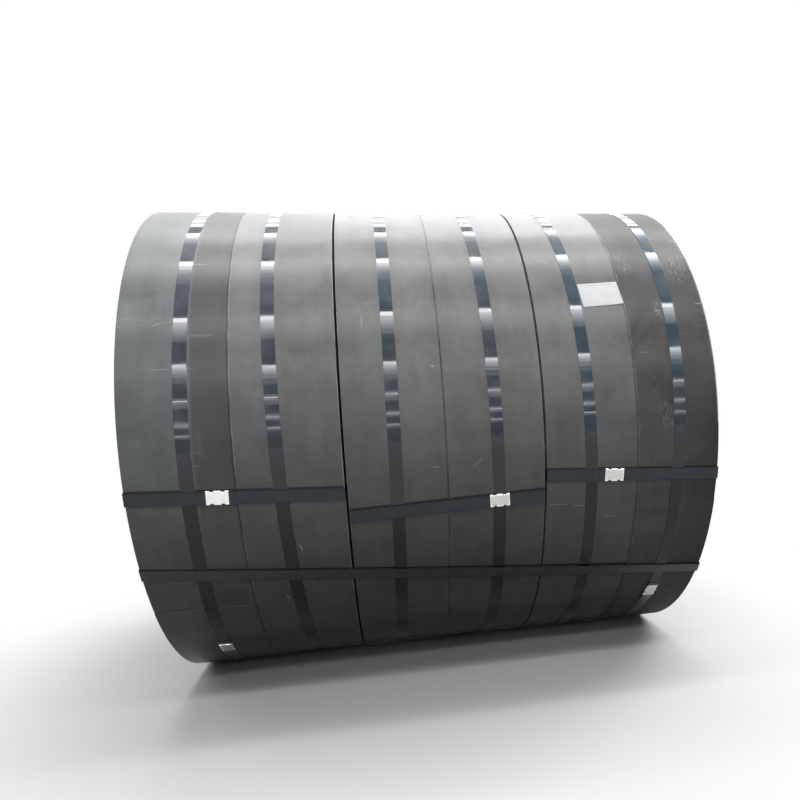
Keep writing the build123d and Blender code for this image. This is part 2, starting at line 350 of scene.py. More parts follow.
def girth_strap(i, materials):
    """A taut strap round coil i, with a dull second material on its lower front."""
    tail, (middle, front, top, seal) = TAILS[i], GIRTHS[i]
    _, marks = taut_r(tail, seal, np.array([0.0]), STRAP_GAP)
    theta = np.linspace(-180, 180, STRAP_STEPS + 1)[:-1]
    extra = np.array([((m + 180) % 360) - 180 for m in marks])
    ends = seal + np.degrees(PINCHES / (HIGH_R + SEAL_LIFT))
    theta = np.unique(np.round(np.concatenate([theta, extra, extra + 0.15, extra - 0.15, ends]), 4))
    r, _ = taut_r(tail, seal, theta, STRAP_GAP)
    x = drift(middle, front, top, theta)
    sheet = Sheet()
    width = pinch(np.radians((theta - seal + 180) % 360 - 180) * (HIGH_R + SEAL_LIFT))
    points = at(x + SECTION[:, :1] * width, r + SECTION[:, 1:], theta)
    uv = np.stack(np.broadcast_arrays(SECTION[:, :1], COIL_R * np.radians(theta)), -1) / 1000
    points = np.concatenate([points, points[:1]], 0)
    uv = np.concatenate([uv, uv[:1]], 0)
    # The dull part starts under the level strap and ends on the floor.
    level = between(middle, *pair_ends(i // 2), PAIRS[i // 2][:2])
    dull = ((theta > -90) & (theta < level)).astype(int)
    sheet.grid(points, uv, np.tile(dull, len(points) - 1), close=True)
    lap(sheet, girth_seat(i), LAP_SLOPE)
    return sheet.build(f"girth_{i + 1}", materials, sharp=50)


def girth_seat(i):
    """Where the seal of girth strap i sits: its origin, along the strap, outwards."""
    tail, (middle, front, top, seal) = TAILS[i], GIRTHS[i]
    a, t = radians(seal), radians(tail)
    reach = HIGH_R + STRAP_GAP + SEAL_LIFT
    y = -STRIP_T / 4 * cos(t) - reach * cos(a)
    z = STRIP_T / 4 * sin(t) + reach * sin(a)
    slope = (front * sin(a) - top * cos(a)) / COIL_R
    origin = (float(drift(middle, front, top, seal)), y, AXIS_Z + z)
    on = radians(seal - 90)
    return origin, (slope, -cos(on), sin(on)), (0, -cos(a), sin(a))


def eye_strap(name, left, right, angles, rides, seal_x, material, right_gap=STRAP_GAP, lap_seat=None, seal_r=0.0):
    """A loop along the outside, round the corners, down the ends and back through the bore."""
    start, end = left - STRAP_GAP, right + right_gap
    bend = 2.2
    out_l, out_r = COIL_R + rides[0] + STRAP_T / 2, COIL_R + rides[1] + STRAP_T / 2
    bore = BORE_R - STRAP_GAP - STRAP_T / 2
    xl, xr = start - STRAP_T / 2, end + STRAP_T / 2
    path = []  # x, radius, normal along x, normal outwards

    def corner(cx, cr, a0, a1):
        for a in np.radians(np.linspace(a0, a1, 7)):
            path.append((cx + bend * cos(a), cr + bend * sin(a), cos(a), sin(a)))

    def run(p, q, n, steps, stops=()):
        for f in np.unique(np.concatenate([np.arange(1, steps) / steps, np.array(stops)])):
            path.append((p[0] + (q[0] - p[0]) * f, p[1] + (q[1] - p[1]) * f, n[0], n[1]))

    corner(xl + bend, out_l - bend, 180, 90)
    lean = COIL_R * radians(angles[1] - angles[0]) / (right - left)
    stops = (seal_x + PINCHES / hypot(1, lean) - xl - bend) / (xr - xl - 2 * bend) if lap_seat is None else ()
    run((xl + bend, out_l), (xr - bend, out_r), (0, 1), 60, stops)
    corner(xr - bend, out_r - bend, 90, 0)
    stops = (out_r - bend - seal_r - PINCHES) / (out_r - bore - 2 * bend) if lap_seat is not None else ()
    run((xr, out_r - bend), (xr, bore + bend), (1, 0), 16, stops)
    corner(xr - bend, bore + bend, 0, -90)
    run((xr - bend, bore), (xl + bend, bore), (0, -1), 40)
    corner(xl + bend, bore + bend, -90, -180)
    run((xl, bore + bend), (xl, out_l - bend), (-1, 0), 16)
    path = np.array(path)
    share = np.clip((path[:, 0] - start) / (end - start), 0, 1)
    theta = np.radians(angles[0] + share * (angles[1] - angles[0]))
    up = SECTION[:, 1] - STRAP_T / 2
    if lap_seat is None:
        away = np.where(path[:, 3] > 0.99, (path[:, 0] - seal_x) * hypot(1, lean), 99.0)
    else:
        away = np.where(path[:, 2] > 0.99, path[:, 1] - seal_r, 99.0)
    across = SECTION[:, 0] * pinch(away)[:, None]
    x = path[:, 0][:, None] + path[:, 2][:, None] * up
    r = path[:, 1][:, None] + path[:, 3][:, None] * up
    bow = (path[:, 3] ** 2)[:, None]
    r = r - bow * (r - np.sqrt(r ** 2 - across ** 2))
    radial = np.stack([0 * theta, -np.cos(theta), np.sin(theta)], -1)
    tangent = np.stack([0 * theta, np.sin(theta), np.cos(theta)], -1)
    points = r[..., None] * radial[:, None] + across[..., None] * tangent[:, None]
    points[..., 0] += x
    points[..., 2] += AXIS_Z
    length = np.concatenate([[0], np.cumsum(np.hypot(np.diff(path[:, 0]), np.diff(path[:, 1])))])
    uv = np.stack(np.broadcast_arrays(SECTION[:, 0], length[:, None]), -1) / 1000
    sheet = Sheet()
    points = np.concatenate([points, points[:1]], 0) / 1000
    uv = np.concatenate([uv, uv[-1:] + np.array([0, 0.001])], 0)
    sheet.grid(points, uv, close=True)
    lap(sheet, lap_seat or eye_seat(left, right, angles, rides[0], seal_x), 0.0)
    return sheet.build(name, [material], sharp=50)


def eye_seat(left, right, angles, ride, x):
    """Where the seal of a strap through the eye sits: its origin, along the strap, outwards."""
    a = radians(between(x, left, right, angles))
    slope = COIL_R * radians(angles[1] - angles[0]) / (right - left)
    out = np.array((0, -cos(a), sin(a)))
    origin = np.array((x, 0, AXIS_Z)) + out * (COIL_R + ride)
    return origin, (1, slope * sin(a), slope * cos(a)), out


def seal(name, seat, material, ribs):
    """A folded seal: rounded shoulders, lips under the strap, and crimps that wave its long edges."""
    origin, x_dir, y_dir, z_dir = seat_axes(*seat)
    half = STRAP_W / 2 + SEAL_SIDE + SEAL_T
    foot_r, shoulder_r = 1.4, 2.2
    low, high = -SEAL_PLAY - SEAL_T, 2 * STRAP_T + SEAL_PLAY + SEAL_T
    along = np.concatenate([[-SEAL_L / 2, -SEAL_L / 2 + 0.25], np.linspace(-SEAL_L / 2 + 1, SEAL_L / 2 - 1, 49),
                            [SEAL_L / 2 - 0.25, SEAL_L / 2]])
    far = np.abs(np.abs(along) - NOTCH_STEP / 2)
    t = np.clip((5.4 - far) / 3.4, 0, 1)
    crimp = t * t * (3 - 2 * t)
    rib = ribs * 0.5 * (1 + np.cos(along * 2 * pi / 5.2))

    def side(skin):
        """Half of the section, from the lip round to the middle of the top; skin is the depth under it."""
        arc = np.radians(np.linspace(-90, 0, 5))
        b = [SEAL_MOUTH / 2, half - foot_r] + [half - foot_r + (foot_r - skin) * cos(a) for a in arc[1:]]
        c = [low + skin, low + skin] + [low + foot_r + (foot_r - skin) * sin(a) for a in arc[1:]]
        arc = np.radians(np.linspace(0, 90, 8))
        b += [half - shoulder_r + (shoulder_r - skin) * cos(a) for a in arc]
        c += [high - shoulder_r + (shoulder_r - skin) * sin(a) for a in arc]
        b += [13.0, 11.0, 9.0, 6.0, 3.0, 0.0]
        c += [high - skin] * 6
        return np.array(b), np.array(c)

    def shell(skin):
        b, c = side(skin)
        b, c = np.concatenate([b, -b[-2::-1]]), np.concatenate([c, c[-2::-1]])
        edge = np.clip((np.abs(b) - 9) / 5, 0, 1) * crimp[:, None]
        upper = np.clip(c / high, 0, 1)
        flat = np.clip((15.0 - np.abs(b)) / 4, 0, 1)
        wide = b * (1 - NOTCH_DEPTH / half * edge)
        tall = c - upper * (0.75 * edge + flat * (0.14 + rib[:, None]))
        return wide, tall + 0 * wide

    sheet = Sheet()
    grids = []
    for skin in (0.0, SEAL_T):
        wide, tall = shell(skin)
        a = along[:, None] + 0 * wide
        if skin == 0.0:
            a[[0, -1]] *= 1 - 0.25 / SEAL_L
        points = origin + a[..., None] * x_dir + wide[..., None] * y_dir + tall[..., None] * z_dir
        uv = np.stack([wide, a], -1) / 1000
        grids.append((points / 1000, uv))
        sheet.grid(points / 1000, uv)
    for edge in BORDERS:
        sheet.grid(np.stack([g[0][edge] for g in grids]), np.stack([g[1][edge] for g in grids]))
    return sheet.build(name, [material], sharp=55)


def paper_label(material):
    """A thin printed sheet laid on the fifth coil, with creases and a lifted corner."""
    tail = TAILS[4]
    turn = radians(LABEL_TURN)
    x_from = float(drift(*GIRTHS[4][:3], LABEL_ANGLE)) + STRAP_W / 2 + LABEL_CLEAR
    x_to = STARTS[4] + CUTS[4] - LABEL_CLEAR
    wide = (x_to - x_from - LABEL_H * sin(turn)) / cos(turn)
    a = np.linspace(-wide / 2, wide / 2, 49)[:, None]
    b = np.linspace(-LABEL_H / 2, LABEL_H / 2, 37)
    x = (x_from + x_to) / 2 + a * cos(turn) - b * sin(turn)
    theta = LABEL_ANGLE + np.degrees((a * sin(turn) + b * cos(turn)) / COIL_R)
    r = outer_r((theta - tail) % 360, LABEL_GAP)
    ripple = 0.12 * (1 + np.sin(a / 9.0 + 0.4 * np.sin(b / 11.0))) + 0.1 * (1 + np.sin(b / 13.0 + a / 40.0))
    crease = 0.35 * np.exp(-((a * 0.94 + b * 0.34 - 14) / 1.6) ** 2) + 0.3 * np.exp(-((b - 9 + 0.08 * a) / 1.8) ** 2)
    corner_a = np.clip((a / wide + 0.5 - 0.72) / 0.28, 0, 1)
    corner_b = np.clip((0.5 - b / LABEL_H - 0.55) / 0.45, 0, 1)
    curl = 2.4 * corner_a ** 2 * corner_b ** 2
    under = r + 0.3 * (ripple + crease) + curl
    sheet = Sheet()
    uv = np.stack([(a + 0 * b) / wide + 0.5, (b + 0 * a) / LABEL_H + 0.5], -1)
    top, low = at(x, under + LABEL_T, theta), at(x, under, theta)
    sheet.grid(top, uv)
    sheet.grid(low, uv)
    for edge in BORDERS:
        sheet.grid(np.stack([top[edge], low[edge]]), np.stack([uv[edge], uv[edge]]))
    return sheet.build("label", [material], sharp=60)


# ---- materials

class Nodes:
    """Short names for the nodes of one tree."""

    def __init__(self, tree):
        self.tree, self.object_place = tree, None
        tree.nodes.clear()

    def put(self, socket, value):
        if isinstance(value, bpy.types.NodeSocket):
            self.tree.links.new(value, socket)
        else:
            socket.default_value = (*value, 1) if socket.type == "RGBA" else value

    def node(self, kind, *inputs, **settings):
        n = self.tree.nodes.new(kind)
        for key, value in settings.items():
            setattr(n, key, value)
        for socket, value in zip(n.inputs, inputs):
            self.put(socket, value)
        return n

    def math(self, op, a, b=0.0, clamp=False):
        return self.node("ShaderNodeMath", a, b, operation=op, use_clamp=clamp).outputs[0]

    def add(self, a, b):
        return self.math("ADD", a, b)

    def sub(self, a, b):
        return self.math("SUBTRACT", a, b)

    def mul(self, a, b, clamp=False):
        return self.math("MULTIPLY", a, b, clamp)

    def most(self, a, b):
        return self.math("MAXIMUM", a, b)

    def size(self, a):
        return self.math("ABSOLUTE", a)

    def far(self, a, b):
        """Length of a line that runs a one way and b square to it."""
        return self.math("SQRT", self.add(self.math("POWER", a, 2.0), self.math("POWER", b, 2.0)))

    def fit(self, value, a, b, c=0.0, d=1.0, kind="SMOOTHSTEP"):
        """Maps a to b onto c to d."""
        return self.node("ShaderNodeMapRange", value, a, b, c, d, interpolation_type=kind).outputs[0]

    def parts(self, vector):
        return self.node("ShaderNodeSeparateXYZ", vector).outputs

    def vector(self, x, y=0.0):
        return self.node("ShaderNodeCombineXYZ", x, y).outputs[0]

    def place(self):
        if self.object_place is None:
            self.object_place = self.node("ShaderNodeTexCoord").outputs["Object"]
        return self.object_place

    def strip_place(self):
        """Places along the axis and along the strip, in metres."""
        return self.parts(self.node("ShaderNodeUVMap", uv_map="strip").outputs[0])[:2]

    def above_axis(self):
        """Height above the coils' axis, in metres."""
        return self.sub(self.parts(self.place())[2], AXIS_Z / 1000)

    def scaled(self, along, square):
        """The object's own place, scaled along the axis and square to it."""
        scale = (along, square, square)
        return self.node("ShaderNodeVectorMath", self.place(), scale, operation="MULTIPLY").outputs[0]

    def noise(self, vector, scale, detail=3.0, rough=0.5, distort=0.0):
        n = self.node("ShaderNodeTexNoise")
        for key, value in (("Vector", vector), ("Scale", scale), ("Detail", detail),
                           ("Roughness", rough), ("Distortion", distort)):
            self.put(n.inputs[key], value)
        return n.outputs[0]

    def cloud(self, along, square, *shape):
        """Noise fixed to the object."""
        return self.noise(self.scaled(along, square), 1.0, *shape)

    def swing(self, noise, reach):
        """Noise as a wander to both sides of zero."""
        return self.mul(self.sub(noise, 0.5), reach)

    def mix(self, factor, a, b, blend="MIX"):
        n = self.node("ShaderNodeMix", factor, data_type="RGBA", blend_type=blend)
        self.put(n.inputs[6], a)
        self.put(n.inputs[7], b)
        return n.outputs[2]

    def ramp(self, factor, stops):
        n = self.node("ShaderNodeValToRGB", factor)
        while len(n.color_ramp.elements) < len(stops):
            n.color_ramp.elements.new(0.5)
        for e, (p, c) in zip(n.color_ramp.elements, stops):
            e.position = p
            e.color = (*c, 1)
        return n.outputs[0]

    def tint(self, colour, factor, *stops):
        """A colour times greys on a ramp, each given by its place, value and warmth."""
        return self.mix(1.0, colour, self.ramp(factor, [(p, grey(*tone)) for p, *tone in stops]), "MULTIPLY")

    def wash(self, factor, colour, tone):
        """A colour times a tone, as far as the factor says."""
        return self.mix(factor, colour, self.mix(1.0, colour, tone, "MULTIPLY"))

    def bump(self, height, distance, strength):
        n = self.node("ShaderNodeBump")
        for key, value in (("Strength", strength), ("Distance", distance), ("Height", height)):
            self.put(n.inputs[key], value)
        return n.outputs[0]

    def stroke(self, u, v, mark):
        """How far a place lies in a short straight mark: from 0 outside to 1 inside."""
        x, angle, length, thick, lean, weight = mark
        c, s = cos(radians(lean)), sin(radians(lean))
        du, dv = self.sub(u, x / 1000), self.sub(v, strip_at(angle))
        along = self.add(self.mul(du, c), self.mul(dv, s))
        aside = self.sub(self.mul(dv, c), self.mul(du, s))
        over = self.most(self.sub(self.size(along), length / 2000), 0.0)
        return self.fit(self.far(over, aside), thick / 1600, thick / 8000, 0.0, weight)

    def seen(self):
        """1 for what the view and reflections see, 0 for light that falls on things."""
        path = self.node("ShaderNodeLightPath").outputs
        return self.most(self.most(path["Is Camera Ray"], path["Is Glossy Ray"]), path["Is Transmission Ray"])


class Paint(Nodes):
    """The nodes of one material."""

    def __init__(self, name):
        self.material = bpy.data.materials.new(name)
        self.material.use_nodes = True
        super().__init__(self.material.node_tree)

    def end(self, shader):
        self.node("ShaderNodeOutputMaterial", shader)
        return self.material

    def finish(self, **values):
        shader = self.node("ShaderNodeBsdfPrincipled")
        for key, value in values.items():
            self.put(shader.inputs[key.replace("_", " ")], value)
        return self.end(shader.outputs[0])


def grey(v, warm=0.0):
    return v * (1 + warm), v, v * (1 - warm)


def strip_at(angle):
    """Metres along the strip at an angle round the coil."""
    return COIL_R * radians(angle) / 1000


def coil_skin(i):
    """Matte mill finish with rolling streaks, stains, bright slit edges and the marks seen on this coil, with
    painted shade, painted shadows and painted highlights in its colour.
    """
    p = Paint(f"coil_skin_{i + 1}")
    u, v = p.strip_place()
    x0, width = STARTS[i] / 1000, CUTS[i] / 1000
    dirt, shine = DIRT_SHINE[i]
    wobble = p.cloud(2.0, 5.0)
    share = p.add(p.math("DIVIDE", p.sub(u, x0), width), p.swing(wobble, 0.05))
    height = p.add(p.above_axis(), p.swing(wobble, 0.12))
    # Below the turn the colour is painted shade, darker on the lower front.
    low, high = (COIL_R * sin(radians(t)) / 1000 for t in TURN[i])
    below, above = (p.ramp(share, [(k, [c / 1000 for c in tone]) for k, *tone in zones[i]])
                    for zones in (SHADED_LOW_ZONES, ZONES))
    colour = p.mix(p.fit(height, low, high), below, above)
    streak = p.cloud(260.0, 1.6, 4.0, 0.65)
    mottle = p.cloud(13.0, 9.0, 4.0, 0.6, 0.6)
    colour = p.tint(colour, streak, (0.25, 0.965), (0.75, 1.035))
    colour = p.tint(colour, p.cloud(34.0, 0.9, 2.0), (0.3, 0.95), (0.7, 1.05))
    colour = p.tint(colour, p.cloud(2.2, 11.0, 3.0, 0.55, 0.5), (0.3, 0.89), (0.7, 1.1))
    colour = p.tint(colour, mottle, (0.3, 0.84, 0.02), (0.5, 1.0), (0.72, 1.14, -0.015))
    colour = p.tint(colour, p.cloud(700.0, 500.0, 2.0), (0.3, 0.95), (0.7, 1.05))
    # Stains: wide dull patches with ragged outlines.
    stain = p.cloud(6.0, 4.0, 6.0, 0.62, 1.2)
    colour = p.wash(p.fit(stain, 0.46, 0.78, 0.0, dirt), colour, (0.66, 0.62, 0.56))
    # Rub marks along and across the strip.
    rub, where = p.cloud(9.0, 150.0, 2.0, 0.5, 0.3), p.cloud(7.0, 7.0, 2.0)
    rubbed = p.mul(p.fit(rub, 0.66, 0.74), p.fit(where, 0.52, 0.62, 0.0, 0.2), True)
    colour = p.mix(rubbed, colour, (0.32, 0.32, 0.31))
    # Patches: real stains and marks, with painted shade at the tops of the ends, painted shadow under the level
    # straps and painted highlights.
    for x, angle, wide, tall, ragged, tone, weight in PATCHES_AND_PAINTED_LIGHT[i]:
        blur = ragged / 1000
        du = p.add(p.size(p.sub(u, x / 1000)), p.swing(mottle, blur))
        dv = p.add(p.size(p.sub(v, strip_at(angle))), p.swing(stain, blur))
        inside = p.mul(p.fit(du, wide / 2000 + blur / 2, wide / 2000 - blur / 2),
                       p.fit(dv, tall / 2000 + blur / 2, tall / 2000 - blur / 2))
        colour = p.wash(p.mul(inside, weight), colour, tone)
    # Chalky scuffs: pale scratches in a ragged patch, along the first coil and down the last.
    fleck = p.cloud(*((70.0, 340.0) if i == 0 else (300.0, 60.0)), 3.0, 0.65)
    ragged = p.swing(stain, 3.5)
    for x, angle, wide, tall, weight in SCUFFS[i]:
        du = p.math("DIVIDE", p.sub(u, x / 1000), wide / 2000)
        dv = p.math("DIVIDE", p.sub(v, strip_at(angle)), tall / 2000)
        far = p.add(p.far(du, dv), ragged)
        inside = p.mul(p.fit(far, 1.4, 0.2, 0.0, weight), p.fit(fleck, 0.48, 0.72))
        colour = p.mix(inside, colour, (0.36, 0.355, 0.33))
    # Pale straight marks.
    rough = p.cloud(420.0, 420.0, 3.0, 0.6)
    total = 0.0
    for mark in MARKS[i]:
        total = p.most(total, p.stroke(u, v, mark))
    colour = p.mix(p.mul(total, p.fit(rough, 0.30, 0.56, 0.1, 0.85), True), colour, (0.50, 0.50, 0.48))
    # Painted shade: black lines in the gaps above the level straps and down the seam of a pair.
    for line in painted_shade_lines(i):
        colour = p.mix(p.stroke(u, v, line), colour, (0.006, 0.006, 0.006))
    # The slit edges are bare bright metal.
    left_edge = p.fit(p.sub(u, x0), 0.0026, 0.0006, 0.0, EDGES[i][0])
    right_edge = p.fit(p.sub(x0 + width, u), 0.0026, 0.0006, 0.0, EDGES[i][1])
    edge = p.mul(p.most(left_edge, right_edge), p.fit(p.cloud(3.0, 14.0, 4.0, 0.6), 0.40, 0.6, 0.1, 1.0))
    colour = p.mix(edge, colour, (0.36, 0.365, 0.365))
    normal = p.bump(p.add(p.mul(streak, 0.5), p.mul(mottle, 0.3)), 0.0004, 0.05)
    rough = p.add(p.fit(mottle, 0.3, 0.7, 0.285, 0.32, "LINEAR"), p.mul(edge, 0.05))
    # Dust dulls the top and the foot.
    rough = p.add(rough, p.fit(height, 0.46, 0.62, 0.0, DULL[i][0]))
    rough = p.add(rough, p.fit(height, -0.15, -0.45, 0.0, DULL[i][1]))
    return p.finish(Base_Color=colour, Roughness=rough, Normal=normal, Metallic=0.0, Specular_IOR_Level=shine)


def coil_end():
    """Sheared strip edges: fine rings of bright and dull metal, with oil stains."""
    p = Paint("coil_end")
    line = p.vector(p.far(p.parts(p.place())[1], p.above_axis()))
    ring = p.noise(line, 400.0, 3.0, 0.7)
    band = p.noise(line, 28.0, 4.0, 0.6)
    patch = p.cloud(5.0, 5.0, 5.0, 0.6, 0.8)
    colour = p.ramp(ring, [(0.3, (0.20, 0.20, 0.195)), (0.7, (0.42, 0.42, 0.41))])
    colour = p.tint(colour, band, (0.3, 0.72), (0.7, 1.2))
    colour = p.wash(p.fit(patch, 0.5, 0.68, 0.0, 0.6), colour, (0.7, 0.62, 0.52))
    rough = p.fit(band, 0.3, 0.7, 0.36, 0.52, "LINEAR")
    return p.finish(Base_Color=colour, Roughness=rough, Metallic=0.45, Specular_IOR_Level=0.4)


def coil_bore():
    """The first turns, marked by the mandrel's segments."""
    p = Paint("coil_bore")
    streak = p.cloud(240.0, 3.0, 4.0, 0.6)
    patch = p.cloud(9.0, 12.0, 4.0, 0.6, 0.5)
    colour = p.ramp(streak, [(0.25, (0.26, 0.26, 0.25)), (0.75, (0.38, 0.38, 0.37))])
    colour = p.tint(colour, patch, (0.3, 0.75, 0.03), (0.7, 1.12))
    rough = p.fit(patch, 0.3, 0.7, 0.38, 0.5, "LINEAR")
    return p.finish(Base_Color=colour, Roughness=rough, Metallic=0.3, Specular_IOR_Level=0.35)


def strap_steel(name, dark, pale, rough=0.045, painted_shade_edge=None, painted_shade_below=False, shine=0.54):
    """Blued and waxed strapping: nearly black, glossy, rubbed bright along its edges, with painted shade below the
    coil's middle and along a level strap's upper edge.
    """
    p = Paint(name)
    u, v = p.strip_place()
    cloud = p.cloud(22.0, 22.0, 4.0, 0.55, 0.4)
    hue = p.cloud(5.0, 5.0, 3.0)
    colour = p.mix(p.fit(cloud, 0.3, 0.7), dark, pale)
    colour = p.wash(p.fit(hue, 0.45, 0.7, 0.0, 0.5), colour, (0.88, 1.0, 1.14))
    if painted_shade_below:
        # Painted shade: nearly black below the middle of the coil.
        lower = p.fit(p.above_axis(), 0.05, -0.10)
        colour = p.mix(lower, colour, (0.009, 0.011, 0.018))
    scratch = p.noise(p.vector(p.mul(u, 900.0), p.mul(v, 5.0)), 1.0, 3.0, 0.6)
    scratched = p.fit(scratch, 0.66, 0.76, 0.0, 0.35)
    side = p.fit(p.size(u), 0.0151, 0.0159)
    patchy = p.cloud(60.0, 60.0, 3.0, 0.6)
    worn = p.most(scratched, p.mul(side, p.fit(patchy, 0.48, 0.66, 0.0, 0.7)))
    colour = p.mix(worn, colour, (0.16, 0.17, 0.18))
    if painted_shade_edge:
        # Painted shade: a black band along the upper edge, where the strap stands off the coil.
        ragged = p.add(u, p.swing(cloud, 0.003))
        colour = p.mix(p.fit(ragged, painted_shade_edge, painted_shade_edge + 0.0008), colour, (0.003, 0.003, 0.003))
    gloss = p.add(p.fit(cloud, 0.25, 0.75, rough - 0.03, rough + 0.06, "LINEAR"), p.mul(worn, 0.15))
    normal = p.bump(p.cloud(16.0, 16.0, 2.0), 0.0003, 0.03)
    return p.finish(Base_Color=colour, Roughness=gloss, Normal=normal, Specular_IOR_Level=shine)


def seal_steel(name, face, rim, rough=0.34):
    """Galvanised seal: zinc with soft spangle, rubbed bright along its edges and crimps."""
    p = Paint(name)
    u, v = p.strip_place()
    spangle = p.node("ShaderNodeTexVoronoi")
    p.put(spangle.inputs["Vector"], p.scaled(160.0, 160.0))
    spangle.inputs["Scale"].default_value = 1.0
    tone = p.parts(spangle.outputs["Color"])[0]
    patch = p.cloud(90.0, 90.0, 4.0, 0.6, 0.4)
    wander = p.swing(patch, 0.004)
    aside = p.add(p.size(u), wander)
    along = p.add(p.size(v), wander)
    rubbed = p.most(p.fit(aside, 0.0118, 0.0138), p.fit(along, 0.0222, 0.0238))
    colour = p.wash(p.fit(patch, 0.35, 0.65, 0.0, 0.3), face, (0.82, 0.82, 0.80))
    colour = p.tint(colour, tone, (0.0, 0.95), (1.0, 1.04))
    colour = p.mix(rubbed, colour, rim)
    scrape = p.cloud(900.0, 300.0, 2.0)
    gloss = p.add(p.fit(patch, 0.3, 0.7, rough - 0.05, rough + 0.08, "LINEAR"), p.mul(rubbed, -0.08))
    return p.finish(Base_Color=colour, Roughness=gloss, Metallic=0.75, Normal=p.bump(scrape, 0.0001, 0.3))


def label_paper():
    """Off-white paper with a plain printed rule, soft creases and handling marks."""
    p = Paint("label_paper")
    u, v = p.strip_place()
    fibre = p.cloud(500.0, 500.0, 3.0)
    smear = p.cloud(30.0, 30.0, 4.0, 0.6, 0.5)
    colour = p.ramp(fibre, [(0.3, (0.56, 0.57, 0.58)), (0.7, (0.60, 0.61, 0.615))])
    colour = p.mix(p.fit(smear, 0.5, 0.75, 0.0, 0.4), colour, (0.74, 0.75, 0.75))
    fold = p.size(p.sub(v, 0.62))
    colour = p.mix(p.fit(fold, 0.012, 0.003, 0.0, 0.35), colour, (0.55, 0.55, 0.56))
    rule = p.mul(p.fit(p.size(p.sub(v, 0.9)), 0.022, 0.014), p.fit(p.size(p.sub(u, 0.45)), 0.40, 0.395))
    breaks = p.cloud(320.0, 0.0, 1.0)
    colour = p.mix(p.mul(rule, p.fit(breaks, 0.44, 0.52, 0.0, 0.55)), colour, (0.25, 0.22, 0.22))
    return p.finish(Base_Color=colour, Roughness=0.6, Normal=p.bump(fibre, 0.0001, 0.3), Specular_IOR_Level=0.3)


def studio_floor():
    """Pale floor. Only the view and reflections see it pale, so it doesn't light the object from below."""
    p = Paint("studio_floor")
    away = p.far(*p.parts(p.place())[:2])
    pale = p.node("ShaderNodeBsdfDiffuse", (0.50, 0.50, 0.50)).outputs[0]
    fade = p.node("ShaderNodeEmission").outputs[0]
    both = p.node("ShaderNodeMixShader", p.fit(away, 0.85, 1.8), pale, fade).outputs[0]
    dull = p.node("ShaderNodeBsdfDiffuse", (0.02, 0.02, 0.02)).outputs[0]
    return p.end(p.node("ShaderNodeMixShader", p.seen(), dull, both).outputs[0])


# ---- the lot

# Colour across each coil's width, in thousandths, above and below a change between two angles. The colours below are
# painted shade: the lower front darker, and the last coil darkest towards its right end.
ZONES = (
    [(0.0, 140, 153, 155), (0.45, 144, 158, 160), (0.63, 144, 153, 155), (0.67, 68, 69, 71), (0.96, 69, 70, 72),
     (1.0, 81, 83, 86)],
    [(0.0, 144, 151, 158), (0.35, 144, 149, 153), (0.5, 140, 141, 142), (1.0, 137, 137, 135)],
    [(0.0, 131, 133, 133), (0.5, 135, 137, 137), (0.75, 146, 149, 149), (1.0, 140, 140, 140)],
    [(0.0, 137, 139, 140), (0.5, 135, 136, 137), (1.0, 135, 135, 133)],
    [(0.0, 135, 136, 139), (0.5, 133, 134, 135), (1.0, 115, 120, 124)],
    [(0.0, 68, 70, 71), (0.5, 66, 68, 70), (1.0, 62, 62, 61)],
)
SHADED_LOW_ZONES = (
    [(0.0, 103, 109, 111), (0.6, 106, 109, 109), (0.7, 93, 93, 93), (1.0, 96, 96, 94)],
    [(0.0, 102, 104, 104), (1.0, 96, 96, 93)],
    [(0.0, 93, 93, 91), (1.0, 96, 96, 93)],
    [(0.0, 93, 93, 91), (1.0, 93, 93, 91)],
    [(0.0, 96, 96, 93), (1.0, 96, 96, 94)],
    [(0.0, 87, 88, 87), (0.45, 77, 79, 76), (0.62, 59, 59, 57), (1.0, 40, 40, 39)],
)
# Angles between which each coil's colour turns from the painted shade below to its colour above.
TURN = ((-24.0, 2.0), *((-18.0, 5.0),) * 4, (-5.0, 8.0))
# How dirty and how glossy each coil is, and how much rougher its top and its foot are.
DIRT_SHINE = (*((0.5, 0.28),) * 5, (1.5, 0.22))
DULL = ((0.16, 0.0), (0.08, 0.0), *((0.0, 0.0),) * 3, (0.26, 0.34))
# How bright each coil's left and right slit edges are.
EDGES = ((0.5, 0.1), (0.9, 0.8), (0.25, 0.25), (0.3, 0.35), (0.2, 0.1), (0.5, 0.8))
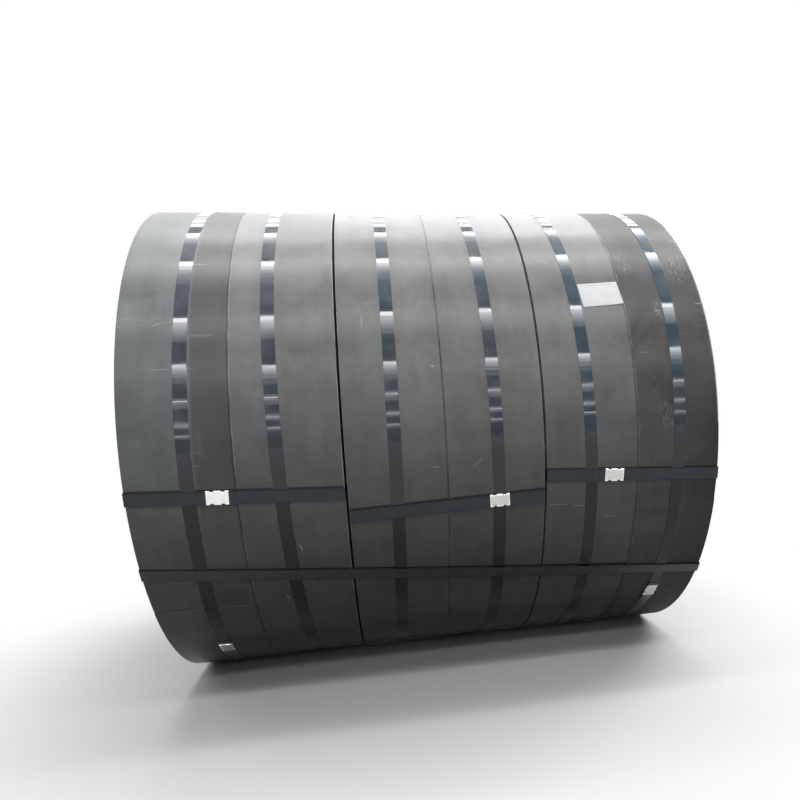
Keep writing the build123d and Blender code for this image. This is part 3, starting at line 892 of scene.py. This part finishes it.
# Marks: x, angle, length, thickness, lean, weight.
MARKS = (
    [(-641.7, 23, 20.4, 2.9, 21.3, 0.45), (-620.4, 23.4, 23.9, 2.6, 8, 0.36), (-632, 13.7, 38.1, 2.1, -0.2, 0.45),
     (-567.1, 13.7, 15, 2.1, 1.4, 0.41), (-620.2, 38.1, 27.3, 2.9, 0.7, 0.41), (-556, 38.2, 27.7, 3.1, 0.7, 0.54),
     (-543.2, 20.4, 41.5, 8, -0.8, 0.2), (-566.2, -4.8, 17.1, 2.3, -2.2, 0.41),
     (-504.1, -31.5, 28, 2.3, -4.9, 0.36), (-535.1, -30.1, 25.4, 2.3, -2.9, 0.36)],
    [(-355.6, -23.1, 12.9, 4, -69.2, 0.95), (-405.7, -35.9, 16.7, 4, -76.2, 0.95)],
    [(-175.6, 22.8, 33.8, 2.3, -90.9, 0.6), (-13.2, 12.4, 4.4, 3.4, -37.8, 0.9),
     (-18.7, -7.9, 12.2, 2.6, -6.1, 0.75)],
    [(83.9, -7.5, 26.2, 2.1, 38.3, 0.68)],
    [(290.7, -17.9, 45.5, 2.1, -4, 0.68), (348.7, -18.5, 32.5, 2.1, -2.7, 0.68),
     (430.5, -21.6, 27.8, 2.3, -2.6, 0.6)],
    [(716, 45.6, 17.7, 3.4, -9.9, 0.9), (715, 25, 14.6, 3.1, 1.1, 0.75), (593.6, 23.4, 14.3, 3.1, 3.4, 0.75),
     (LOT_W / 2 - 2.5, 25, 660, 6, 90, 0.8), (677.5, 37.7, 25.9, 2.6, -88.3, 0.6),
     (535, 13.7, 21.7, 2.1, -4.9, 0.45)],
)
# Patches, real stains and marks with painted light among them: the large dark patches at the tops of the ends are
# painted shade, the dark ones just above the tails of the first and last coils are painted shadow under the level
# straps, and the bright ones near the first coil's left end and on the second coil are painted highlights. Columns:
# x, angle, width, height, raggedness, tone, weight.
PATCHES_AND_PAINTED_LIGHT = (
    [(-706, 25.1, 30, 80, 50, (1.3, 1.3, 1.3), 0.9), (-690, 38.5, 60, 40, 60, (1.14, 1.14, 1.14), 1),
     (-541, -34, 70, 44, 26, (0.66, 0.62, 0.56), 0.8), (-556, -0.5, 12, 64, 24, (1.7, 1.7, 1.65), 0.8),
     (-640, 66, 330, 300, 170, (0.70, 0.69, 0.68), 1)],
    [(-327, 16.7, 56, 20, 36, (0.72, 0.70, 0.68), 0.7), (-290, 38, 120, 40, 50, (1.1, 1.1, 1.1), 1),
     (-290, 23, 130, 36, 44, (1.1, 1.1, 1.1), 1), (-430, 66, 200, 300, 170, (0.82, 0.81, 0.80), 1)],
    [(-155, 27, 33, 14, 4, (1.2, 1.2, 1.2), 0.8), (-21, 26.8, 29, 17, 4, (1.2, 1.2, 1.2), 0.8)],
    [],
    [(480, 66, 130, 300, 130, (0.84, 0.84, 0.83), 1)],
    [(616, -16.6, 216, 36, 18, (0.74, 0.70, 0.64), 0.8), (575, 44, 90, 150, 90, (0.36, 0.35, 0.29), 1),
     (600, 15, 44, 70, 50, (0.86, 0.76, 0.60), 1), (560, 63, 130, 300, 130, (0.70, 0.69, 0.66), 1),
     (705, 63, 170, 360, 150, (0.50, 0.49, 0.47), 1)],
)
# Scuffs: x, angle, width, height, weight.
SCUFFS = (
    [(-643, 23.5, 76, 34, 0.5), (-718, 24.2, 18, 60, 0.5)],
    [], [], [], [],
    [(687, 37, 80, 120, 0.6), (595, 23.3, 30, 76, 0.7), (585, 0.9, 40, 80, 0.7), (519, -1.7, 20, 26, 0.5),
     (534, 37.3, 36, 90, 0.55), (730, 24, 20, 110, 0.8), (732, 42.4, 30, 120, 0.7), (665, 33, 40, 60, 0.35)],
)
# How thick the painted shade line is above the long strap on each coil.
LOT_SHADE_LINE = (4.0, 4.4, 4.8, 5.4, 6.2, 7.4)


def painted_shade_lines(i):
    """Painted shade lines along the upper edges of the pair strap and the long strap on coil i, and down the seam of
    its pair.
    """
    x = STARTS[i] + CUTS[i] / 2
    lines = []
    for angles, (left, right), thick in ((PAIRS[i // 2][:2], pair_ends(i // 2), 6.0),
                                         (LOT_ANGLES, (-LOT_W / 2, LOT_W / 2), LOT_SHADE_LINE[i])):
        lean = degrees(atan2(COIL_R * radians(angles[1] - angles[0]), right - left))
        angle = between(x, left, right, angles) + degrees((STRAP_W / 2 + 0.3 * thick) / COIL_R)
        lines.append((x, angle, CUTS[i] + 20, thick, lean, 0.95))
    if i % 2 == 0:
        lines.append((STARTS[i] + CUTS[i] - 0.5, 0.0, 2 * pi * COIL_R, 8.0, 90.0, 0.8))
    return lines


coil_side, coil_inside = coil_end(), coil_bore()
for i in range(6):
    coil = slit_coil(i, [coil_skin(i), coil_side, coil_inside])
    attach(coil, "root")
    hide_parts(f"slit_coil_{i + 1}")

slate, dull_slate = (
    strap_steel(f"strap_{name}", (0.032, 0.044, 0.058), (0.052, 0.068, 0.086), painted_shade_below=True, shine=shine)
    for name, shine in (("slate", 0.54), ("dull_slate", 0.34)))
level_teal = strap_steel(
    "strap_level_teal", (0.010, 0.020, 0.028), (0.017, 0.030, 0.041), 0.16, 0.0126, shine=0.40)
lot_slate = strap_steel(
    "strap_level_slate", (0.028, 0.031, 0.034), (0.044, 0.048, 0.052), 0.18, 0.0130, shine=0.40)
teal, dull_teal = (
    strap_steel(f"strap_{name}", (0.026, 0.045, 0.063), (0.043, 0.070, 0.095), painted_shade_below=True, shine=shine)
    for name, shine in (("teal", 0.54), ("dull_teal", 0.34)))
for i in range(6):
    strap = girth_strap(i, [teal, dull_teal] if i > 3 else [slate, dull_slate])
    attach(strap, "root")
    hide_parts(f"girth_strap_{i + 1}")
for i, (a0, a1, seal_x, ride) in enumerate(PAIRS):
    strap = eye_strap(f"pair_{i + 1}", *pair_ends(i), (a0, a1), (ride, ride), seal_x, level_teal)
    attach(strap, "root")
    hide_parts(f"pair_strap_{i + 1}")
a = radians(LOT_ANGLES[1])
seal_r = BORE_R + LOT_SEAL_AT * (COIL_R - BORE_R)
seat = ((LOT_W / 2 + STRAP_GAP + END_LIFT, -seal_r * cos(a), AXIS_Z + seal_r * sin(a)),
        (0, -cos(a), sin(a)), (1, 0, 0))
strap = eye_strap(
    "long_strap", -LOT_W / 2, LOT_W / 2, LOT_ANGLES, LOT_RIDES, 0.0, lot_slate, STRAP_GAP + END_LIFT, seat, seal_r)
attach(strap, "root")
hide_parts("lot_strap")

white_zinc = seal_steel("seal_white_zinc", (0.97, 0.97, 0.965), (0.98, 0.98, 0.97), 0.30)
grey_zinc = seal_steel("seal_grey_zinc", (0.70, 0.69, 0.66), (0.95, 0.95, 0.93))
seals = [(f"girth_seal_{i + 1}", girth_seat(i), grey_zinc, 0.22) for i in range(6)]
for i, (a0, a1, seal_x, ride) in enumerate(PAIRS):
    place = eye_seat(*pair_ends(i), (a0, a1), ride, seal_x)
    seals.append((f"pair_seal_{i + 1}", place, grey_zinc if i else white_zinc, 0.0))
seals.append(("lot_seal", seat, grey_zinc, 0.0))
for node, place, zinc, ribs in seals:
    piece = seal(node.replace("_seal", "_clip"), place, zinc, ribs)
    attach(piece, "root")
    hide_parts(node)

label = paper_label(label_paper())
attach(label, "root")
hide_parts("paper_label")

# ---- studio

floor_mesh = bpy.data.meshes.new("floor")
floor_mesh.from_pydata([(-8, -8, 0), (8, -8, 0), (8, 8, 0), (-8, 8, 0)], [], [(0, 1, 2, 3)])
floor_mesh.materials.append(studio_floor())
floor = bpy.data.objects.new("floor", floor_mesh)
scene.collection.objects.link(floor)

world = bpy.data.worlds.new("studio")
scene.world = world
world.use_nodes = True
# White behind the object, a duller wall on the side that faces its front, and little light on the object from it.
w = Nodes(world.node_tree)
depth = w.parts(w.node("ShaderNodeTexCoord").outputs["Generated"])[1]
dim = w.node("ShaderNodeBackground", (0.9, 0.95, 1.0), 0.015).outputs[0]
white = w.node("ShaderNodeBackground", (1, 1, 1), w.fit(depth, -0.2, 0.3, 0.60, 1.0)).outputs[0]
w.node("ShaderNodeOutputWorld", w.node("ShaderNodeMixShader", w.seen(), dim, white).outputs[0])

# Places of the lamps, in metres: how far from what mirrors them, the radius of the straps' faces, and the eye.
LAMP_FAR, BOX_FAR, BOX_SIZE, STRAP_FACE = 5.0, 6.0, 3.2, 0.701
EYE = np.array((-0.2161, -3.3025, -0.0101)) * COIL_R / 1000
AXIS = np.array((0, 0, AXIS_Z / 1000))


def area_lamp(name, shape, long, wide, radiance):
    """A lamp that the view doesn't see."""
    lamp = bpy.data.lights.new(name, "AREA")
    lamp.shape, lamp.size, lamp.size_y = shape, long, wide
    lamp.energy = radiance * pi * lamp.size * lamp.size_y
    obj = bpy.data.objects.new(name, lamp)
    obj.visible_camera = False
    scene.collection.objects.link(obj)
    return obj


def strip_lamp(name, spot, elevation, x, long, wide, radiance):
    """A strip along the axis: the angle on the coil where it is mirrored, and its own elevation from there."""
    t, e = radians(spot), radians(elevation)
    obj = area_lamp(name, "RECTANGLE", long, wide, radiance)
    obj.location = (x, -STRAP_FACE * cos(t) - LAMP_FAR * cos(e),
                    AXIS_Z / 1000 + STRAP_FACE * sin(t) + LAMP_FAR * sin(e))
    obj.rotation_euler = (radians(90 - elevation), 0, 0)


def posed(x_axis, y_axis, z_axis, place):
    matrix = np.eye(4)
    matrix[:3] = np.stack([x_axis, y_axis, z_axis, place], 1)
    return Matrix(matrix.tolist())


# Long strips over the top: angle, elevation, width, radiance.
for k, (spot, elevation, wide, radiance) in enumerate((
        (66, 155, 0.07, 12), (61.5, 143, 0.07, 12), (57, 132, 0.08, 12), (54.6, 126.5, 0.10, 10),
        (64, 150, 0.80, 1.2), (57.5, 133, 1.10, 1.8), (43.5, 102, 1.30, 0.8), (30.5, 73, 1.50, 0.5))):
    strip_lamp(f"strip_{k + 1}", spot, elevation, 0.45, 6.4, wide, radiance)


def mirrored(x, spot):
    """Elevation and x of the lamp that the eye sees mirrored in a strap at x, at this angle round the coil."""
    t = radians(spot)
    out = np.array((0.0, -cos(t), sin(t)))
    here = np.array((x, 0.0, 0.0)) + STRAP_FACE * out
    to_eye = unit(EYE - here)
    to_lamp = 2 * (out @ to_eye) * out - to_eye
    flat = hypot(to_lamp[1], to_lamp[2])
    return degrees(atan2(to_lamp[2], -to_lamp[1])), x + to_lamp[0] / flat * LAMP_FAR


# Short strips, one for each girth strap. Each highlight is a bright row with weaker ones beside it: the angle where
# each strap mirrors it, and rows of how far below, width and radiance.
for k, (spots, rows) in enumerate((
        ((54.1, 54.1, 54, 54, 52.2, 52.1), ((0, 0.20, 4.5),)),
        ((49.3, 49.2, 49.5, 49.9, 50.7, 50.8),
         ((0, 0.20, 16.5), (1.2, 0.18, 6), (2.2, 0.18, 3), (3.3, 0.20, 1.5))),
        ((38.3, 38.1, 38.7, 38.9, 39.5, 40.1),
         ((0, 0.26, 20), (1.3, 0.22, 9), (2.4, 0.22, 5), (3.6, 0.24, 2.8), (5, 0.28, 1.2))),
        ((23.7, 23.7, 24.1, 24.3, 24.5, 24.6),
         ((0, 0.22, 17), (1, 0.18, 8.5), (1.9, 0.20, 6), (2.9, 0.22, 3.6), (4, 0.22, 1.8))),
        ((14.2, 13.4, 13.3, 13.3, 13.5, 14.2),
         ((0, 0.14, 13), (0.6, 0.12, 7.5), (1.2, 0.14, 5), (2, 0.16, 3), (3, 0.18, 1.3))),
        ((7.4, 7.4, 7.1, 6.9, 7.1, 7.2), ((-0.4, 0.06, 2.3), (0, 0.05, 12), (0.4, 0.07, 3.8), (1, 0.16, 1.5))),
        ((2.9, 3.7, 3.2, 3.1, 3.3, 3.1), ((-0.35, 0.06, 2.3), (0, 0.045, 10), (0.4, 0.08, 2.3))),
        ((0.9, 1.6, 1, 1, 1.4, 0.6), ((0, 0.045, 8), (0.35, 0.08, 1.5))))):
    for i in range(6):
        for j, (below, wide, radiance) in enumerate(rows):
            spot = spots[i] - below
            x = float(drift(*GIRTHS[i][:3], spot)) / 1000
            elevation, far_x = mirrored(x, spot)
            strip_lamp(f"glint_{k + 1}_{i + 1}_{j + 1}", spot, elevation, far_x, 1.0, wide, radiance)

# Large soft boxes above and beside the two ends: turn towards an end, elevation, radiance.
for k, (turn, elevation, radiance) in enumerate(((-50.0, 118.0, 3.4), (-62.0, 66.0, 0.75), (50.0, 108.0, 10.0))):
    t, e = radians(turn), radians(elevation)
    aim = np.array((sin(t), -cos(t) * cos(e), cos(t) * sin(e)))
    x_axis = unit(np.cross((0, 1, 0), aim))
    box = area_lamp(f"box_{k + 1}", "SQUARE", BOX_SIZE, BOX_SIZE, radiance)
    box.matrix_world = posed(x_axis, np.cross(aim, x_axis), aim, aim * BOX_FAR + AXIS)

# ---- camera

camera = bpy.data.cameras.new("camera")
camera.sensor_width, camera.lens = 36.0, 29.86
camera.shift_x, camera.shift_y = -0.1275, 0.0846
camera.clip_end = 200
eye = bpy.data.objects.new("camera", camera)
scene.collection.objects.link(eye)
yaw, pitch, roll = radians(10.313), radians(-3.516), radians(-3.160)
ahead = np.array((sin(yaw) * cos(pitch), cos(yaw) * cos(pitch), sin(pitch)))
side = unit(np.cross(ahead, (0, 0, 1)))
above = np.cross(side, ahead)
right = cos(roll) * side + sin(roll) * above
up = cos(roll) * above - sin(roll) * side
eye.matrix_world = posed(right, up, -ahead, EYE + AXIS)
scene.camera = eye
